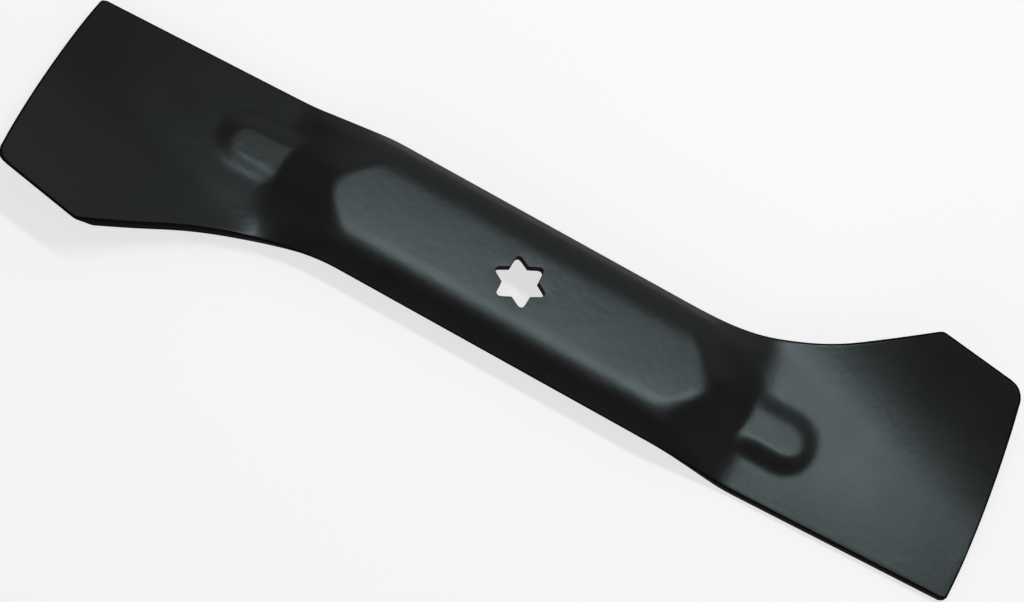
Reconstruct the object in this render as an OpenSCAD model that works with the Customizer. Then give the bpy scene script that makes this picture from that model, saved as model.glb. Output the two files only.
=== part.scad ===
// Rotary mower blade for a two-blade deck, seen with its ground side up.
// One strip of steel: blanked to outline, punched with a six-point star,
// pressed to shape and ground along both cutting edges.
// X runs along the blade and Z is the spindle axis. Z = 0 is the hub's flat face.
// The blade is its own copy when turned half a turn about Z.

/* [Blank] */
// Diameter of the circle that the tips sweep
sweep_d = 538; // [500:1:580]
// Thickness of the steel
steel_t = 4.8; // [3.5:0.1:6]
// Width across the hub
hub_w = 80.6; // [74:0.2:90]
// Distance of the trailing tip corner from the long centreline
heel_y = 33.8; // [30:0.2:38]
// Distance of the cutting tip corner from the long centreline
nose_y = 82; // [72:0.5:88]
// Distance of the cutting edge's inner end from the spindle, along the blade
heel_cut_x = 205; // [195:1:220]
// Distance of the cutting edge's inner end from the long centreline
heel_cut_y = 90.5; // [84:0.5:96]
// Slant of the straight flank behind the cutting edge, in degrees
flank_a = 34; // [28:0.5:38]
// Radius of the hollow curve between hub and flank
hollow_r = 156; // [90:1:190]
// Radius of the cutting tip corner
nose_r = 11.5; // [4:0.5:14]
// Radius of the corner at the cutting edge's inner end
cut_r = 5; // [2:0.5:9]
// Radius of the trailing tip corner
heel_r = 3; // [1.5:0.5:6]
// Outward bow of the tip's end edge
tip_bow = 3.6; // [0:0.2:5]
// Where the trailing edge starts its taper, from the spindle
taper_x = 92; // [84:1:100]

/* [Hub channel] */
// Width of the flat hub face between its two bends
plateau_w = 24; // [18:0.5:30]
// Slope of the two side flanges, in degrees
flange_a = 32; // [24:0.5:38]
// Width of the bends beside the hub face, from flat to full slope
shoulder_w = 23.5; // [18:0.5:26]

/* [Star hole] */
// Size of the star over two opposite points
star_d = 29; // [26:0.5:32]
// Size of the star over two opposite inner corners
star_root_d = 19; // [17:0.5:20]
// Radius on the star's points
star_tip_r = 2.2; // [1:0.1:2.6]
// Radius on the star's inner corners
star_root_r = 0.8; // [0.4:0.1:1.2]

/* [Joggle] */
// Drop of the wing below the hub face, on the long centreline
wing_drop = 12.2; // [8:0.2:16]
// Where the ramp starts on the centreline, from the spindle
crest_x = 103.5; // [98:0.5:110]
// Where the ramp starts at the side flanges, from the spindle
crest_side_x = 87.5; // [82:0.5:94]
// Where the ramp ends on the centreline, from the spindle
foot_x = 145.5; // [138:0.5:152]
// Skew of the line along the foot of the ramp, in degrees
foot_skew = 3.6; // [0:0.2:12]

/* [Wing] */
// Tilt of the wing about the blade's length, trailing edge low, in degrees
wing_tilt = 4.5; // [0:0.5:8]
// Angle by which the cutting corner is curled out of the wing, in degrees
lift_a = 17.6; // [10:0.2:24]
// Direction of that curl against the blade's length, in degrees
lift_dir = 19.5; // [10:0.5:26]
// Distance of the curl's middle from the spindle axis, square to its line
lift_at = 115; // [106:0.5:124]
// Radius of the curl
lift_r = 200; // [120:5:260]

/* [Gusset] */
// Width of the gusset's flat top
gusset_w = 14; // [10:0.5:20]
// Width of the wall round the gusset, in plan
gusset_wall = 13.3; // [9:0.1:16]
// Where the flat top ends, from the spindle
gusset_x = 164.6; // [156:0.2:172]
// Height of the flat top over the wing, on the centreline
gusset_h = 1.8; // [1:0.1:5]
// Tilt of the flat top about the blade's length, in degrees
gusset_tilt = 1.5; // [0:0.5:5]

/* [Cutting edge] */
// Angle of the ground bevel against the wing's face, in degrees
bevel_a = 28; // [20:1:45]
// Edge thickness left by the grinding
edge_land = 0.8; // [0.4:0.1:1.5]

/* [Hidden] */

sweep_r = sweep_d / 2;
hub_y = hub_w / 2;

// Plan corners: trailing tip, cutting tip and the cutting edge's inner end
heel_pt = [sqrt(sweep_r * sweep_r - heel_y * heel_y), -heel_y];
nose_pt = [sqrt(sweep_r * sweep_r - nose_y * nose_y), nose_y];
cut_pt = [heel_cut_x, heel_cut_y];

// Hollow curve: an arc that leaves the hub's side and runs into the straight flank
hollow_fit_r = min(hollow_r, 0.98 * (heel_cut_y - hub_y) / (1 - cos(flank_a)));
flank_y = hub_y + hollow_fit_r * (1 - cos(flank_a));
flank_x = heel_cut_x - (heel_cut_y - flank_y) / tan(flank_a);
hollow_x = flank_x - hollow_fit_r * sin(flank_a);

// Where the hub's bends have turned about a third of their angle
shoulder_y = plateau_w / 2 + 0.65 * shoulder_w;
gusset_r = gusset_w / 2;
gusset_spine_x = gusset_x - gusset_r;
gusset_foot_x = gusset_x + gusset_wall;

// Share of the ramp's length that rounds its crest and its foot
crest_share = 0.25;
foot_share = 0.24;

// Vector helpers
function unit(v) = v / norm(v);
function mix(a, b, f) = a + (b - a) * f;
function clamp(v, lo, hi) = min(max(v, lo), hi);
function steps(a, b, n) = [for (i = [0 : n - 1]) mix(a, b, i / n)];

// Fall at distance s past the start of a bend that tightens over the width w
bend_n = 2.5;
function bend_fall(s, w, a) =
    s <= 0 ? 0
    : s < w ? tan(a) * s * pow(s / w, bend_n) / (bend_n + 1)
    : tan(a) * (s - w * bend_n / (bend_n + 1));

// Straight slope with a rounded start and end, from 0 to 1
function ease(f, c, d) =
    let (m = 1 / (1 - c / 2 - d / 2))
    f <= 0 ? 0
    : f < c ? m * f * f / (2 * c)
    : f < 1 - d ? m * (f - c / 2)
    : f < 1 ? 1 - m * (1 - f) * (1 - f) / (2 * d)
    : 1;

// Positive part of v, rounded over the band from -k to k
function soft_pos(v, k) = v <= -k ? 0 : v >= k ? v : (v + k) * (v + k) / (4 * k);

// Height of the hub channel: flat face, bends and flanges
function hub_z(y) = -bend_fall(abs(y) - plateau_w / 2, shoulder_w, flange_a);

// Height of the wing: a tilted flat whose cutting corner curls up
lift_half = lift_r * tan(lift_a / 2);
function wing_z(x, y) =
    let (s = x * sin(lift_dir) + y * cos(lift_dir) - lift_at)
    -wing_drop + y * tan(wing_tilt) + tan(lift_a) * soft_pos(s, lift_half);

// Plan lines of the ramp: its crest rounds the hub face's end, its foot is straight
function crest(y) =
    let (k = max(0, 1 - pow(y / shoulder_y, 2)))
    mix(crest_side_x, crest_x, k * k);
function foot(y) = foot_x - y * tan(foot_skew);

// Height of the ramp between hub and wing
function ramp_z(x, y) =
    let (f = (x - crest(y)) / (foot(y) - crest(y)))
    mix(hub_z(y), wing_z(x, y), ease(f, crest_share, foot_share));

// The gusset: a flat-topped tongue that stands on the wing and runs into the ramp
function gusset_share(x, y) =
    let (d = norm([max(0, x - gusset_spine_x), y]))
    1 - ease((d - gusset_r) / gusset_wall, 0.35, 0.35);
function gusset_z(y) = gusset_h - wing_drop + y * tan(gusset_tilt);
function half_z(x, y) =
    let (base = ramp_z(x, y))
    base + soft_pos(gusset_z(y) - base, 0.8) * gusset_share(x, y);

// Height of the pressed face anywhere on the blade
function face_z(x, y) = x < 0 ? half_z(-x, -y) : half_z(x, y);
function face_pt(p) = [p[0], p[1], face_z(p[0], p[1])];
function face_normal(p) =
    let (h = 0.05)
    let (sx = (face_z(p[0] + h, p[1]) - face_z(p[0] - h, p[1])) / (2 * h))
    let (sy = (face_z(p[0], p[1] + h) - face_z(p[0], p[1] - h)) / (2 * h))
    unit([-sx, -sy, 1]);

// Plan of the two long edges of one half
function lead_y(x) =
    x <= hollow_x ? hub_y
    : x <= flank_x ? hub_y + hollow_fit_r - sqrt(pow(hollow_fit_r, 2) - pow(x - hollow_x, 2))
    : x <= heel_cut_x ? mix(flank_y, heel_cut_y, (x - flank_x) / (heel_cut_x - flank_x))
    : mix(heel_cut_y, nose_y, (x - heel_cut_x) / (nose_pt[0] - heel_cut_x));
function trail_y(x) =
    -mix(hub_y, heel_y, clamp((x - taper_x) / (heel_pt[0] - taper_x), 0, 1));

// Rounded corners: how far each arc reaches along its two edges, and its points
trail_pt = [taper_x, -hub_y];
flank_pt = [flank_x, flank_y];
function reach(p, a, b, r) = let (c = unit(a - p) * unit(b - p)) r * sqrt((1 + c) / (1 - c));
heel_reach = reach(heel_pt, trail_pt, nose_pt, heel_r);
nose_reach = reach(nose_pt, heel_pt, cut_pt, nose_r);
cut_reach = reach(cut_pt, flank_pt, nose_pt, cut_r);
heel_in = heel_pt + unit(trail_pt - heel_pt) * heel_reach;
heel_out = heel_pt + unit(nose_pt - heel_pt) * heel_reach;
nose_in = nose_pt + unit(heel_pt - nose_pt) * nose_reach;
nose_out = nose_pt + unit(cut_pt - nose_pt) * nose_reach;
cut_in = cut_pt + unit(flank_pt - cut_pt) * cut_reach;
cut_out = cut_pt + unit(nose_pt - cut_pt) * cut_reach;
function corner_pt(a, p, b, f) =
    let (c = unit(a - p) * unit(b - p), k = sqrt((1 - c) / 2))
    let (w = 2 * f * (1 - f) * k, s = pow(1 - f, 2) + pow(f, 2) + w)
    (a * pow(1 - f, 2) + p * w + b * pow(f, 2)) / s;

// Lines along the blade, as places across it: a trailing band, a middle band with
// fixed offsets that follow the bends, and a leading band that ends on the corner arc
heel_lines = 4;
mid_half = concat(
    steps(0, plateau_w / 2, 2),
    steps(plateau_w / 2, shoulder_y, 7),
    [shoulder_y]
);
mid_n = len(mid_half) - 1;
mid_y = [for (j = [-mid_n : mid_n]) sign(j) * mid_half[abs(j)]];
lead_lines = 4;
arc_lines = 5;
arc_share = 0.14;
lead_share = concat(
    [for (j = [1 : lead_lines]) (1 - arc_share) * j / lead_lines],
    [for (j = [1 : arc_lines]) 1 - arc_share * (1 - j / arc_lines)]
);

// One line across the blade, between a point on each long edge
function cross_line(t, l) = concat(
    [for (j = [0 : heel_lines - 1])
        let (y = mix(t[1], -shoulder_y, j / heel_lines))
        [mix(t[0], l[0], (y - t[1]) / (l[1] - t[1])), y]],
    [for (y = mid_y) [mix(t[0], l[0], (y - t[1]) / (l[1] - t[1])), y]],
    [for (f = lead_share)
        let (y = mix(shoulder_y, l[1], f))
        [mix(t[0], l[0], (y - t[1]) / (l[1] - t[1])), y]]
);

// The end edge: trailing corner arc, bowed end, cutting corner arc
function end_pt(y) =
    let (f = clamp((y - heel_out[1]) / (nose_in[1] - heel_out[1]), 0, 1))
    let (p = mix(heel_out, nose_in, f))
    [p[0] + tip_bow * 4 * f * (1 - f), p[1]];
end_line = concat(
    [for (j = [0 : heel_lines - 1]) corner_pt(heel_in, heel_pt, heel_out, j / heel_lines)],
    [for (y = mid_y) end_pt(max(y, heel_out[1]))],
    [for (j = [1 : lead_lines]) end_pt(mix(shoulder_y, nose_in[1], j / lead_lines))],
    [for (j = [1 : arc_lines]) corner_pt(nose_in, nose_pt, nose_out, j / arc_lines)]
);

// Ends of the cross lines of one half: along the hub and the ramp, round the inner end
// of the cutting edge, and out to the tip
lead_in_x = hollow_x < crest_side_x - 1 ? steps(hollow_x, crest_side_x, 2) : [];
plain_x = concat(
    lead_in_x,
    steps(crest_side_x, foot_x, 13),
    steps(foot_x, gusset_foot_x, 8),
    steps(gusset_foot_x, cut_in[0], 4)
);
plain_ends = [for (x = plain_x) [[x, trail_y(x)], [x, lead_y(x)]]];
cut_ends = [
    for (f = [0, 0.5])
        let (p = corner_pt(cut_in, cut_pt, cut_out, f))
        [[p[0], trail_y(p[0])], p]
];
tip_n = 7;
tip_f = [for (i = [0 : tip_n]) 1 - pow(1 - i / tip_n, 1.3)];
tip_start = [cut_out[0], trail_y(cut_out[0])];
tip_bulge = end_line - cross_line(heel_in, nose_out);
half_lines = concat(
    [for (e = concat(plain_ends, cut_ends)) cross_line(e[0], e[1])],
    [for (f = tip_f)
        cross_line(mix(tip_start, heel_in, f), mix(cut_out, nose_out, f)) + pow(f, 3) * tip_bulge]
);
half_n = len(half_lines);
function turned(line) = let (n = len(line)) [for (j = [0 : n - 1]) -line[n - 1 - j]];

// The same lines on both halves; the other half's lines run from its leading edge
plan = concat(
    [for (i = [half_n - 1 : -1 : 0]) turned(half_lines[i])],
    half_lines
);

// Skin of the sheet: the pressed face above, the same face one thickness below
line_n = len(plan[0]);
rows_n = len(plan);
skin_n = rows_n * line_n;
face_pts = [for (line = plan) for (p = line) face_pt(p)];
back_pts = [for (line = plan) for (p = line) face_pt(p) - steel_t * face_normal(p)];
function at(i, j) = i * line_n + j;

// Triangles between two cross lines that share their places across
function strip(i) = [
    for (j = [0 : line_n - 2]) each [
        [at(i, j), at(i, j + 1), at(i + 1, j + 1)],
        [at(i, j), at(i + 1, j + 1), at(i + 1, j)]
    ]
];

// Triangles between two cross lines with places of their own, taken in order
function zip(i, a, b) =
    a == line_n - 1 && b == line_n - 1 ? []
    : b == line_n - 1 || (a < line_n - 1 && plan[i][a + 1][1] <= plan[i + 1][b + 1][1] + 0.001)
    ? concat([[at(i, a), at(i, a + 1), at(i + 1, b)]], zip(i, a + 1, b))
    : concat([[at(i, a), at(i + 1, b + 1), at(i + 1, b)]], zip(i, a, b + 1));

face_tris = [for (i = [0 : rows_n - 2]) each (i == half_n - 1 ? zip(i, 0, 0) : strip(i))];
back_tris = [for (t = face_tris) [t[0] + skin_n, t[2] + skin_n, t[1] + skin_n]];

// Rim of the blank, in the order in which it goes round
rim = concat(
    [for (i = [0 : rows_n - 1]) at(i, 0)],
    [for (j = [1 : line_n - 1]) at(rows_n - 1, j)],
    [for (i = [rows_n - 2 : -1 : 0]) at(i, line_n - 1)],
    [for (j = [line_n - 2 : -1 : 1]) at(0, j)]
);
rim_n = len(rim);
rim_tris = [
    for (k = [0 : rim_n - 1])
        let (a = rim[k], b = rim[(k + 1) % rim_n]) each [
            [a, b, b + skin_n],
            [a, b + skin_n, a + skin_n]
        ]
];

// The pressed blank, before punching and grinding
module pressed_blank() {
    polyhedron(
        points = concat(face_pts, back_pts),
        faces = concat(face_tris, back_tris, rim_tris),
        convexity = 6
    );
}

// Six-point star, one point along the blade: a round point, a straight flank and a
// small round inner corner, six times
star_tip_x = star_d / 2 - star_tip_r;
star_root_pt = star_root_d / 2 * [cos(30), sin(30)];
star_gap = [star_tip_x, 0] - star_root_pt;
star_lean = asin(star_tip_r / norm(star_gap));
star_side = atan2(star_gap[1], star_gap[0]) + star_lean;
star_touch = star_root_pt + norm(star_gap) * cos(star_lean) * [cos(star_side), sin(star_side)];
star_half = atan2(star_touch[1], star_touch[0] - star_tip_x);
function spun(p, a) = [p[0] * cos(a) - p[1] * sin(a), p[0] * sin(a) + p[1] * cos(a)];
star_next = spun([star_touch[0], -star_touch[1]], 60);
star_root_reach = reach(star_root_pt, star_touch, star_next, star_root_r);
star_root_in = star_root_pt + unit(star_touch - star_root_pt) * star_root_reach;
star_root_out = star_root_pt + unit(star_next - star_root_pt) * star_root_reach;
star_pts = [
    for (k = [0 : 5]) each concat(
        [for (i = [-4 : 4])
            spun([star_tip_x, 0] + star_tip_r * [cos(star_half * i / 4), sin(star_half * i / 4)], 60 * k)],
        [for (f = [0 : 0.5 : 1])
            spun(corner_pt(star_root_in, star_root_pt, star_root_out, f), 60 * k)]
    )
];

// Grinding plane: it leaves a thin land at the cutting edge and runs out on the back
lift_normal = face_normal(mix(cut_pt, nose_pt, 0.5));
edge_start = face_pt(cut_pt) - edge_land * lift_normal;
edge_end = face_pt(nose_pt) - edge_land * lift_normal;
edge_along = unit(edge_end - edge_start);
edge_in = cross(edge_along, lift_normal);
grind_in = edge_in * cos(bevel_a) - lift_normal * sin(bevel_a);
grind_out = cross(edge_along, grind_in);
grind_run = norm(edge_end - edge_start);
grind_reach = 3 * steel_t / sin(bevel_a);
module grinding() {
    multmatrix([
        [edge_along[0], grind_in[0], grind_out[0], edge_start[0]],
        [edge_along[1], grind_in[1], grind_out[1], edge_start[1]],
        [edge_along[2], grind_in[2], grind_out[2], edge_start[2]],
        [0, 0, 0, 1]
    ])
        translate([-grind_reach, -grind_reach / 2, 0])
            cube([grind_run + 2 * grind_reach, 1.5 * grind_reach, grind_reach]);
}

module blade() {
    color("#23282a")
        difference() {
            pressed_blank();
            linear_extrude(height = 6 * steel_t, center = true) polygon(star_pts);
            for (turn = [0, 180]) rotate(turn) grinding();
        }
}

blade();
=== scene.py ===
import math

import bmesh
import bpy
from mathutils import Matrix, Quaternion, Vector


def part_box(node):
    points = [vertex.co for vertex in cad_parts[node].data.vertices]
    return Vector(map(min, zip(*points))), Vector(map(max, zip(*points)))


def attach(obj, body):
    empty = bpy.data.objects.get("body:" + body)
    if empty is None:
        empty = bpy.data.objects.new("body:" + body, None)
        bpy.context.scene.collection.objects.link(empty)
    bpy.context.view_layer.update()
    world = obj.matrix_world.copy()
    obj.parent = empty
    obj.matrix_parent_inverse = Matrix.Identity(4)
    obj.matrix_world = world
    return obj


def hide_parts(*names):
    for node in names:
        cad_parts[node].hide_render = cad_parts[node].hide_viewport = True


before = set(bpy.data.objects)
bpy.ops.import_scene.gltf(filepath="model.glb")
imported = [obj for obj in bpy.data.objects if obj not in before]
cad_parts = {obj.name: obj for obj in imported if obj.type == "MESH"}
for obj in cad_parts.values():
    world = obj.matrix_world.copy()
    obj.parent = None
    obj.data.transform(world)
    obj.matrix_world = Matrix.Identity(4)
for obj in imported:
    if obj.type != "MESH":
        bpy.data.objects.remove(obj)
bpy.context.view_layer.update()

MM = 0.001

# Sizes of the blade in millimetres and degrees, as in the part's source
SWEEP_D = 538
STEEL_T = 4.8
HUB_W = 80.6
HEEL_Y = 33.8
TAPER_X = 92
NOSE_Y = 82
HEEL_CUT = Vector((205, 90.5))
FLANK_A = math.radians(34)
HOLLOW_R = 156
NOSE_R = 11.5
CUT_R = 5
HEEL_R = 3
TIP_BOW = 3.6
PLATEAU_W = 24
FLANGE_A = math.radians(32)
SHOULDER_W = 23.5
STAR_D = 29
STAR_ROOT_D = 19
STAR_TIP_R = 2.2
STAR_ROOT_R = 0.8
WING_DROP = 12.2
CREST_X = 103.5
CREST_SIDE_X = 87.5
FOOT_X = 145.5
FOOT_SKEW = math.radians(3.6)
WING_TILT = math.radians(4.5)
LIFT_A = math.radians(17.6)
LIFT_DIR = math.radians(19.5)
LIFT_AT = 115
LIFT_R = 200
GUSSET_W = 14
GUSSET_WALL = 13.3
GUSSET_X = 164.6
GUSSET_H = 1.8
GUSSET_TILT = math.radians(1.5)
BEVEL_A = math.radians(28)
EDGE_LAND = 0.8

# How fast the hub's bends tighten, and where they have turned about a third of their angle
BEND_N = 2.5
SHOULDER_Y = PLATEAU_W / 2 + 0.65 * SHOULDER_W

# Shares of the ramp that round its crest and foot, share of the gusset's wall that rounds its top
# and foot, and half the band over which the gusset's top runs into the ramp
CREST_SHARE, FOOT_SHARE = 0.25, 0.24
GUSSET_ROUND = 0.35
GUSSET_BLEND = 0.8

# Edge rounding: the shear rolls the upper edge over, and paint rounds every other edge a little
EDGE_ROLL, ROLL_STEPS = 1.2, 4
RIM_ROUND, ROUND_STEPS = 0.35, 2
SHARP_A = math.radians(40)
# The sheet is never steeper than 50 degrees, so a face whose normal rises less than this is rim
RIM_NORMAL_Z = 0.6

# Fineness of the sheet: rows along half the blade, lines across it, the strip beside each rim,
# the shares of the lines on the tip's two arcs, and how late the rows take up the tip's form
PLAIN_ROWS, CUT_ROWS, TIP_ROWS = 100, 3, 26
ROWS = PLAIN_ROWS + CUT_ROWS + TIP_ROWS
LINES = 64
RIM_SHARE = 0.027
HEEL_SHARE, NOSE_SHARE = 0.054, 0.12
TIP_LATE = 12
# The star's points, the steps of its small arcs, and half the length and width of the block of the
# sheet that is opened for it
STAR_POINTS, STAR_STEPS = 6, 4
STAR_BLOCK_X, STAR_BLOCK_Y = 19, 17
# Half the span over which a slope is taken, and the distance under which two points are one
SLOPE_SPAN = 0.05
WELD = 0.01

# The camera: its place in metres, its angles in degrees and its lens in millimetres
CAMERA_PLACE = Vector((0.03318, -0.43649, 0.92190))
CAMERA_AZIMUTH, CAMERA_ELEVATION, CAMERA_ROLL = 4.292, 65.202, 25.144
CAMERA_LENS, CAMERA_SENSOR = 70.38, 36

# The floor in metres, just under the blade so that no two faces lie in one plane, and the radiance
# that it and the room add of their own
FLOOR_HALF, FLOOR_GAP = 5, 0.2 * MM
FLOOR_GLOW, ROOM_GLOW = 0.68, 0.08


def mix(a, b, f):
    """Value at the share f of the way from a to b."""
    return a + (b - a) * f


# The pressed form: height of the ground-side face over the plan

def bend_fall(s, w, a):
    """Fall at distance s past the start of a bend that tightens over the width w."""
    if s <= 0:
        return 0
    if s < w:
        return math.tan(a) * s * (s / w) ** BEND_N / (BEND_N + 1)
    return math.tan(a) * (s - w * BEND_N / (BEND_N + 1))


def ease(f, c, d):
    """Straight slope from 0 to 1 with a rounded start and end."""
    m = 1 / (1 - c / 2 - d / 2)
    if f <= 0:
        return 0
    if f < c:
        return m * f * f / (2 * c)
    if f < 1 - d:
        return m * (f - c / 2)
    return 1 - m * (1 - f) ** 2 / (2 * d) if f < 1 else 1


def soft_pos(v, k):
    """Positive part of v, rounded over the band from -k to k."""
    return 0 if v <= -k else v if v >= k else (v + k) ** 2 / (4 * k)


def hub_z(y):
    """The hub's channel: a flat with a bend and a flange along each side."""
    return -bend_fall(abs(y) - PLATEAU_W / 2, SHOULDER_W, FLANGE_A)


def wing_z(x, y):
    """The wing: a tilted flat with its cutting corner curled up along a diagonal line."""
    s = x * math.sin(LIFT_DIR) + y * math.cos(LIFT_DIR) - LIFT_AT
    lift = math.tan(LIFT_A) * soft_pos(s, LIFT_R * math.tan(LIFT_A / 2))
    return -WING_DROP + y * math.tan(WING_TILT) + lift


def face_z(x, y):
    """Height of the pressed face: hub, ramp, wing and gusset, the same after half a turn."""
    if x < 0:
        x, y = -x, -y
    crest = mix(CREST_SIDE_X, CREST_X, max(0, 1 - (y / SHOULDER_Y) ** 2) ** 2)
    foot = FOOT_X - y * math.tan(FOOT_SKEW)
    ramp = ease((x - crest) / (foot - crest), CREST_SHARE, FOOT_SHARE)
    z = mix(hub_z(y), wing_z(x, y), ramp)
    d = math.hypot(max(0, x - GUSSET_X + GUSSET_W / 2), y)
    gusset = 1 - ease((d - GUSSET_W / 2) / GUSSET_WALL, GUSSET_ROUND, GUSSET_ROUND)
    gusset_z = GUSSET_H - WING_DROP + y * math.tan(GUSSET_TILT)
    return z + soft_pos(gusset_z - z, GUSSET_BLEND) * gusset


def on_face(p):
    """Point of the pressed face over a place in plan."""
    return Vector((p.x, p.y, face_z(p.x, p.y)))


# The blank: its outline in plan

HUB_Y = HUB_W / 2
HEEL_PT = Vector((math.sqrt((SWEEP_D / 2) ** 2 - HEEL_Y ** 2), -HEEL_Y))
NOSE_PT = Vector((math.sqrt((SWEEP_D / 2) ** 2 - NOSE_Y ** 2), NOSE_Y))
FLANK_PT_Y = HUB_Y + HOLLOW_R * (1 - math.cos(FLANK_A))
FLANK_PT = Vector((HEEL_CUT.x - (HEEL_CUT.y - FLANK_PT_Y) / math.tan(FLANK_A), FLANK_PT_Y))
HOLLOW_X = FLANK_PT.x - HOLLOW_R * math.sin(FLANK_A)
TRAIL_PT = Vector((TAPER_X, -HUB_Y))


def lead_y(x):
    """Leading edge: along the hub, round the hollow and up the straight flank."""
    if x <= HOLLOW_X:
        return HUB_Y
    if x <= FLANK_PT.x:
        return HUB_Y + HOLLOW_R - math.sqrt(HOLLOW_R ** 2 - (x - HOLLOW_X) ** 2)
    return mix(FLANK_PT.y, HEEL_CUT.y, (x - FLANK_PT.x) / (HEEL_CUT.x - FLANK_PT.x))


def trail_y(x):
    """Trailing edge: along the hub, then a straight taper to the heel."""
    f = (x - TAPER_X) / (HEEL_PT.x - TAPER_X)
    return -mix(HUB_Y, HEEL_Y, min(max(f, 0), 1))


def rounded(p, a, b, r):
    """Start, corner and end of an arc of radius r in the corner p between a and b."""
    ua, ub = (a - p).normalized(), (b - p).normalized()
    reach = r * math.sqrt((1 + ua.dot(ub)) / (1 - ua.dot(ub)))
    return p + ua * reach, p, p + ub * reach


def on_arc(arc, f):
    """Point at the share f of an arc that rounded() gave."""
    a, p, b = arc
    c = (a - p).normalized().dot((b - p).normalized())
    w = 2 * f * (1 - f) * math.sqrt((1 - c) / 2)
    return (a * (1 - f) ** 2 + p * w + b * f * f) / ((1 - f) ** 2 + f * f + w)


HEEL_ARC = rounded(HEEL_PT, TRAIL_PT, NOSE_PT, HEEL_R)
NOSE_ARC = rounded(NOSE_PT, HEEL_PT, HEEL_CUT, NOSE_R)
CUT_ARC = rounded(HEEL_CUT, FLANK_PT, NOSE_PT, CUT_R)


def end_edge(s):
    """End of the blade from heel to nose: a small arc, a bowed edge and a larger arc."""
    if s < HEEL_SHARE:
        return on_arc(HEEL_ARC, s / HEEL_SHARE)
    if s > 1 - NOSE_SHARE:
        return on_arc(NOSE_ARC, (s - 1 + NOSE_SHARE) / NOSE_SHARE)
    f = (s - HEEL_SHARE) / (1 - HEEL_SHARE - NOSE_SHARE)
    return mix(HEEL_ARC[2], NOSE_ARC[0], f) + Vector((TIP_BOW * 4 * f * (1 - f), 0))


def on_blank(row, s):
    """Place in plan of a grid point: row from 0 at the spindle to ROWS at the tip, s across."""
    if row <= PLAIN_ROWS:
        x = CUT_ARC[0].x * row / PLAIN_ROWS
        return mix(Vector((x, trail_y(x))), Vector((x, lead_y(x))), s)
    if row <= PLAIN_ROWS + CUT_ROWS:
        lead = on_arc(CUT_ARC, (row - PLAIN_ROWS) / CUT_ROWS)
        return mix(Vector((lead.x, trail_y(lead.x))), lead, s)
    f = (row - PLAIN_ROWS - CUT_ROWS) / TIP_ROWS
    start = Vector((CUT_ARC[2].x, trail_y(CUT_ARC[2].x)))
    straight = mix(mix(start, HEEL_ARC[0], f), mix(CUT_ARC[2], NOSE_ARC[2], f), s)
    return straight + (end_edge(s) - mix(HEEL_ARC[0], NOSE_ARC[2], s)) * f ** TIP_LATE


def share_across(line):
    """Share of the width at which a line runs: even lines, with a wider strip at each rim."""
    if line in (0, LINES):
        return line / LINES
    return mix(RIM_SHARE, 1 - RIM_SHARE, (line - 1) / (LINES - 2))


# The blade, in the order in which it is made

def lay_blank(bm):
    """A flat grid, moved to the outline of the blank."""
    bmesh.ops.create_grid(bm, x_segments=2 * ROWS, y_segments=LINES, size=1)
    for v in bm.verts:
        row, s = round(v.co.x * ROWS), share_across(round((v.co.y + 1) / 2 * LINES))
        p = on_blank(row, s) if row >= 0 else -on_blank(-row, 1 - s)
        v.co = (p.x, p.y, 0)


def half_angle(points, roots):
    """Half the angle of the star's points."""
    point = points[0].co
    root = min((v.co for v in roots), key=lambda co: (co - point).length)
    return (point - root).angle(point)


def punch_star(bm):
    """A star hole with rounded points: a block of the grid is opened and filled round the star."""
    middles = {f: f.calc_center_median() for f in bm.faces}
    block = [f for f, m in middles.items() if abs(m.x) < STAR_BLOCK_X and abs(m.y) < STAR_BLOCK_Y]
    bmesh.ops.delete(bm, geom=block, context="FACES")
    opened = [e for e in bm.edges if e.is_boundary and max(v.co.length for v in e.verts) < STAR_D]
    star = bmesh.ops.create_circle(bm, cap_ends=True, segments=2 * STAR_POINTS, radius=STAR_D / 2)["verts"]
    step = math.pi / STAR_POINTS
    points = [v for v in star if round(math.atan2(v.co.y, v.co.x) / step) % 2 == 0]
    roots = [v for v in star if v not in points]
    bmesh.ops.scale(bm, vec=(STAR_ROOT_D / STAR_D,) * 3, verts=roots)
    # A round point stands inside its sharp one, so the sharp ones go out until the round ones reach
    out = STAR_TIP_R / math.sin(half_angle(points, roots)) - STAR_TIP_R
    bmesh.ops.scale(bm, vec=(1 + 2 * out / STAR_D,) * 3, verts=points)
    point_half = half_angle(points, roots)
    root_half = math.pi - point_half - step
    for verts, reach in ((points, STAR_TIP_R / math.tan(point_half)),
                         (roots, STAR_ROOT_R / math.tan(root_half))):
        bmesh.ops.bevel(bm, geom=verts, offset=reach, offset_type="OFFSET", affect="VERTICES",
                        segments=STAR_STEPS, profile=0.5, material=-1)
    hole = max(bm.faces, key=lambda f: len(f.verts))
    rim = list(hole.edges)
    bmesh.ops.delete(bm, geom=[hole], context="FACES_ONLY")
    bmesh.ops.triangle_fill(bm, use_beauty=True, edges=opened + rim, normal=(0, 0, 1))
    bmesh.ops.recalc_face_normals(bm, faces=bm.faces)
    if bm.faces[0].normal.z < 0:
        bmesh.ops.reverse_faces(bm, faces=bm.faces)


def press(bm):
    """The press: each point of the sheet goes to its height, then the sheet gets its thickness."""
    for v in bm.verts:
        v.co.z = face_z(v.co.x, v.co.y)
    bm.normal_update()
    bmesh.ops.solidify(bm, geom=bm.faces[:], thickness=STEEL_T)


def sharp_edges(bm):
    """Edges where the surface turns sharply."""
    bm.normal_update()
    return [e for e in bm.edges if e.calc_face_angle() > SHARP_A]


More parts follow.
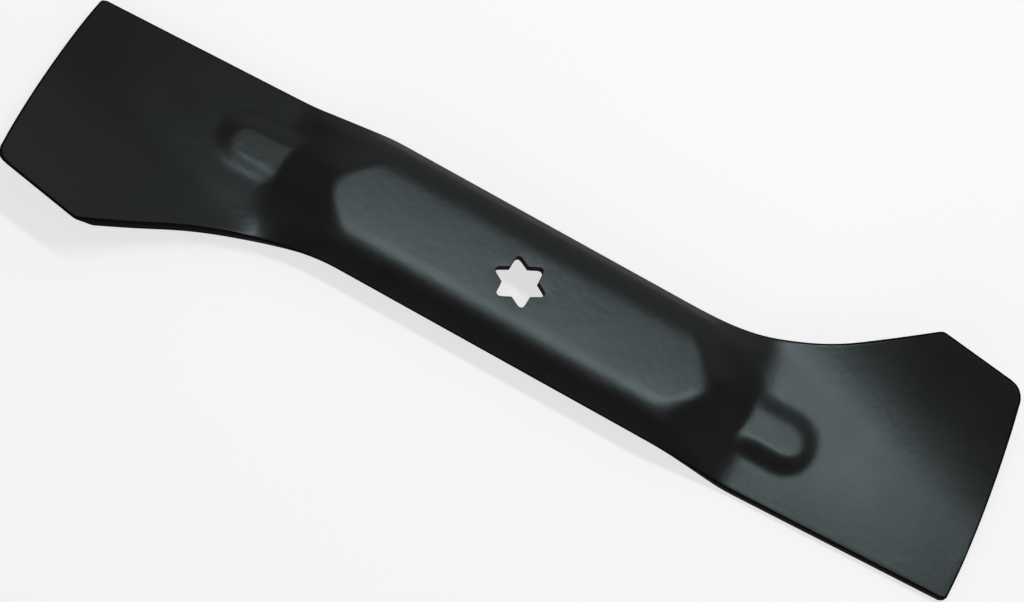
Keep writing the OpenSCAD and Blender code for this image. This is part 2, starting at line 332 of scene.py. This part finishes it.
def round_edges(bm):
    """The shear draws the upper edge of the outline down, and paint rounds the other edges.
    What is rolled or sheared takes the second finish, a darker enamel that is partly painted shade."""
    upper = [e for e in sharp_edges(bm) if max(f.normal.z for f in e.link_faces) > RIM_NORMAL_Z
             and e.verts[0].co.length > STAR_D]
    rolled = bmesh.ops.bevel(bm, geom=upper, offset=EDGE_ROLL, offset_type="OFFSET", affect="EDGES",
                             segments=ROLL_STEPS, profile=0.5, material=-1)["faces"]
    # The rolled faces take the darker finish, partly painted shade
    for f in rolled:
        f.material_index = 1
    bmesh.ops.bevel(bm, geom=sharp_edges(bm), offset=RIM_ROUND, offset_type="OFFSET", affect="EDGES",
                    segments=ROUND_STEPS, profile=0.5, material=-1)
    bm.normal_update()
    for f in bm.faces:
        f.smooth = True
        # The rim faces take the darker finish, partly painted shade
        if abs(f.normal.z) < RIM_NORMAL_Z:
            f.material_index = 1


def grind(bm, turn):
    """The ground bevel on the deck side: one plane that leaves a thin land at the edge."""
    mid = mix(HEEL_CUT, NOSE_PT, 0.5)
    dx, dy = Vector((SLOPE_SPAN, 0)), Vector((0, SLOPE_SPAN))
    slope_x = on_face(mid + dx) - on_face(mid - dx)
    slope_y = on_face(mid + dy) - on_face(mid - dy)
    normal = slope_x.cross(slope_y).normalized()
    edge = on_face(HEEL_CUT) - EDGE_LAND * normal
    along = (on_face(NOSE_PT) - EDGE_LAND * normal - edge).normalized()
    inward = along.cross(normal) * math.cos(BEVEL_A) - normal * math.sin(BEVEL_A)
    outward = along.cross(inward)
    spin = Matrix.Rotation(turn, 3, "Z")
    cut = bmesh.ops.bisect_plane(bm, geom=bm.verts[:] + bm.edges[:] + bm.faces[:], dist=1e-4,
                                 plane_co=spin @ edge, plane_no=spin @ outward, clear_outer=True)
    rim = [e for e in cut["geom_cut"] if isinstance(e, bmesh.types.BMEdge)]
    for e in rim:
        e.smooth = False
    ground = bmesh.ops.holes_fill(bm, edges=rim)["faces"]
    bmesh.ops.triangulate(bm, faces=ground, ngon_method="BEAUTY")


def to_object(bm, name):
    """A finished mesh as an object of the scene."""
    mesh = bpy.data.meshes.new(name)
    bm.to_mesh(mesh)
    bm.free()
    piece = bpy.data.objects.new(name, mesh)
    bpy.context.collection.objects.link(piece)
    return piece


def make_blade():
    """The blade in millimetres, step by step as in the works, then scaled to metres."""
    bm = bmesh.new()
    lay_blank(bm)
    punch_star(bm)
    press(bm)
    round_edges(bm)
    grind(bm, 0)
    grind(bm, math.pi)
    bmesh.ops.remove_doubles(bm, verts=bm.verts, dist=WELD)
    bmesh.ops.recalc_face_normals(bm, faces=bm.faces)
    bmesh.ops.scale(bm, vec=(MM,) * 3, verts=bm.verts)
    blade = to_object(bm, "pressed_blade")
    weighted = blade.modifiers.new("flat faces stay flat", "WEIGHTED_NORMAL")
    weighted.mode = "FACE_AREA"
    weighted.weight = 50
    weighted.keep_sharp = True
    return blade


# Finishes

def colour(code):
    """Linear colour of an sRGB hex value."""
    parts = [int(code[i:i + 2], 16) / 255 for i in (1, 3, 5)]
    return (*[c / 12.92 if c <= 0.04045 else ((c + 0.055) / 1.055) ** 2.4 for c in parts], 1)


def add(tree, kind, links=None, **settings):
    """A node with its settings; links gives a socket's value or the socket that feeds it."""
    node = tree.nodes.new(kind)
    for name, value in settings.items():
        setattr(node, name, value)
    for name, value in (links or {}).items():
        if isinstance(value, bpy.types.NodeSocket):
            tree.links.new(value, node.inputs[name])
        else:
            node.inputs[name].default_value = value
    return node


def blank_material(name):
    """A material with an empty tree of nodes."""
    material = bpy.data.materials.new(name)
    material.use_nodes = True
    material.node_tree.nodes.clear()
    return material, material.node_tree


def satin_black_enamel():
    """Black dip enamel on pressed steel: a soft, slightly cool sheen on a near-black ground,
    with faint clouds in its gloss, the slight waves that a press leaves in sheet steel and
    the fine ripple that paint dries with."""
    material, tree = blank_material("satin_black_enamel")
    place = add(tree, "ShaderNodeTexCoord").outputs["Object"]
    clouds = add(tree, "ShaderNodeTexNoise", {
        "Vector": place, "Scale": 1 / (45 * MM), "Detail": 3.0, "Roughness": 0.55})
    ground = add(tree, "ShaderNodeMix", {
        "Factor": clouds.outputs["Fac"], "A": colour("#1b1814"), "B": colour("#201c18")}, data_type="RGBA")
    gloss = add(tree, "ShaderNodeMapRange", {
        "Value": clouds.outputs["Fac"], "From Min": 0.3, "From Max": 0.7, "To Min": 0.27, "To Max": 0.31})
    waves = add(tree, "ShaderNodeTexNoise", {"Vector": place, "Scale": 1 / (24 * MM), "Detail": 1.0})
    waved = add(tree, "ShaderNodeBump", {
        "Height": waves.outputs["Fac"], "Strength": 1.0, "Distance": 0.1 * MM})
    # Paint ripple is about 1 mm; it is drawn at 4 mm so that the render can show it
    ripple = add(tree, "ShaderNodeTexNoise", {"Vector": place, "Scale": 1 / (4 * MM), "Detail": 2.0})
    bump = add(tree, "ShaderNodeBump", {
        "Height": ripple.outputs["Fac"], "Strength": 1.0, "Distance": 0.06 * MM,
        "Normal": waved.outputs["Normal"]})
    shader = add(tree, "ShaderNodeBsdfPrincipled", {
        "Base Color": ground.outputs["Result"], "Roughness": gloss.outputs["Result"],
        "Normal": bump.outputs["Normal"], "IOR": 1.5, "Specular Tint": colour("#dff7fc")})
    add(tree, "ShaderNodeOutputMaterial", {"Surface": shader.outputs["BSDF"]})
    return material


def sheared_edge_enamel_and_painted_shade():
    """The same enamel where it soaks thin into the torn grain of a sheared edge: rough, with fine upright
    drag lines from the punch. Its dead black, darker than the enamel's, is partly painted shade on the
    rim."""
    material, tree = blank_material("sheared_edge_enamel_and_painted_shade")
    place = add(tree, "ShaderNodeTexCoord").outputs["Object"]
    # Drag lines are finer than this; they are drawn 1.5 mm apart so that a close view shows them
    upright = add(tree, "ShaderNodeMapping", {"Vector": place, "Scale": (1, 1, 0.15)})
    drag = add(tree, "ShaderNodeTexNoise", {
        "Vector": upright.outputs["Vector"], "Scale": 1 / (1.5 * MM), "Detail": 2.0})
    # Near-black colour, darker than the enamel: partly thin paint on torn steel, partly painted shade on
    # the rim
    ground = add(tree, "ShaderNodeMix", {
        "Factor": drag.outputs["Fac"], "A": colour("#0c0b0a"), "B": colour("#171513")}, data_type="RGBA")
    bump = add(tree, "ShaderNodeBump", {
        "Height": drag.outputs["Fac"], "Strength": 0.5, "Distance": 0.1 * MM})
    shader = add(tree, "ShaderNodeBsdfPrincipled", {
        "Base Color": ground.outputs["Result"], "Roughness": 0.7, "Specular IOR Level": 0.05,
        "Normal": bump.outputs["Normal"], "IOR": 1.5})
    add(tree, "ShaderNodeOutputMaterial", {"Surface": shader.outputs["BSDF"]})
    return material


def white_paper():
    """Matt white studio paper: it keeps the blade's soft shadow, and a glow that only the camera and
    reflections see makes it pale."""
    material, tree = blank_material("white_paper")
    path = add(tree, "ShaderNodeLightPath").outputs
    seen = add(tree, "ShaderNodeMath", {0: path["Is Camera Ray"], 1: path["Is Glossy Ray"]},
               operation="MAXIMUM")
    seen = add(tree, "ShaderNodeMath", {0: seen.outputs[0], 1: path["Is Transmission Ray"]},
               operation="MAXIMUM")
    glow = add(tree, "ShaderNodeMath", {0: seen.outputs[0], 1: FLOOR_GLOW}, operation="MULTIPLY")
    matt = add(tree, "ShaderNodeBsdfDiffuse", {"Color": colour("#c4c4c4")})
    pale = add(tree, "ShaderNodeEmission", {"Color": colour("#ffffff"), "Strength": glow.outputs[0]})
    both = add(tree, "ShaderNodeAddShader", {0: matt.outputs[0], 1: pale.outputs[0]})
    add(tree, "ShaderNodeOutputMaterial", {"Surface": both.outputs[0]})
    return material


# Studio

def make_floor(z):
    """A wide sheet of paper at the height z."""
    bm = bmesh.new()
    bmesh.ops.create_grid(bm, x_segments=1, y_segments=1, size=FLOOR_HALF)
    bmesh.ops.translate(bm, vec=(0, 0, z), verts=bm.verts)
    floor = to_object(bm, "studio_floor")
    floor.data.materials.append(white_paper())
    return floor


def make_lamp(name, place, aim, size, radiance, turn=0):
    """A soft oval lamp whose face has the given radiance, where 1 shows as white."""
    light = bpy.data.lights.new(name, "AREA")
    light.shape = "ELLIPSE"
    light.size, light.size_y = size
    light.energy = radiance * math.pi * size[0] * size[1] * math.pi / 4
    lamp = bpy.data.objects.new(name, light)
    bpy.context.collection.objects.link(lamp)
    lamp.location = place
    lamp.rotation_mode = "QUATERNION"
    lamp.rotation_quaternion = ((Vector(aim) - Vector(place)).to_track_quat("-Z", "Y")
                                @ Quaternion((0, 0, 1), math.radians(turn)))


def make_room():
    """A dim, even room round the lamps."""
    world = bpy.data.worlds.new("dim_room")
    world.use_nodes = True
    background = world.node_tree.nodes["Background"]
    background.inputs["Color"].default_value = colour("#ffffff")
    background.inputs["Strength"].default_value = ROOM_GLOW
    bpy.context.scene.world = world


def make_camera():
    """The photo's view of the blade."""
    camera = bpy.data.objects.new("camera", bpy.data.cameras.new("camera"))
    bpy.context.collection.objects.link(camera)
    camera.data.sensor_width = CAMERA_SENSOR
    camera.data.lens = CAMERA_LENS
    turn = (Matrix.Rotation(math.radians(CAMERA_AZIMUTH), 4, "Z")
            @ Matrix.Rotation(math.radians(90 - CAMERA_ELEVATION), 4, "X")
            @ Matrix.Rotation(math.radians(CAMERA_ROLL), 4, "Z"))
    camera.matrix_world = Matrix.Translation(CAMERA_PLACE) @ turn
    bpy.context.scene.camera = camera


blade = make_blade()
blade.data.materials.append(satin_black_enamel())
# The second finish darkens the rim and the rolled edge: partly sheared-edge enamel, partly painted shade
blade.data.materials.append(sheared_edge_enamel_and_painted_shade())
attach(blade, "root")
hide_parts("blade")

make_floor(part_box("blade")[0][2] - FLOOR_GAP)
# The strip gives the sheen along the hub and the wing, the panels the softer sheen at low angles
make_lamp("overhead_strip", (0.066, 0.336, 1.0), (0.066, 0.22, 0), (1.044, 0.108), 12, turn=-5)
make_lamp("back_panel", (0, 1.6, 0.95), (0, 0, 0.2), (3, 1.5), 0.3)
make_lamp("front_panel", (0, -2.4, 0.9), (0, 0, 0), (4, 1.2), 1.2)
make_lamp("left_panel", (-2.4, 0, 0.9), (0, 0, 0), (2.4, 1.2), 0.6)
make_lamp("right_panel", (2.4, 0, 0.9), (0, 0, 0), (2.4, 1.2), 0.6)
make_room()
make_camera()
bpy.context.scene.view_settings.view_transform = "Standard"
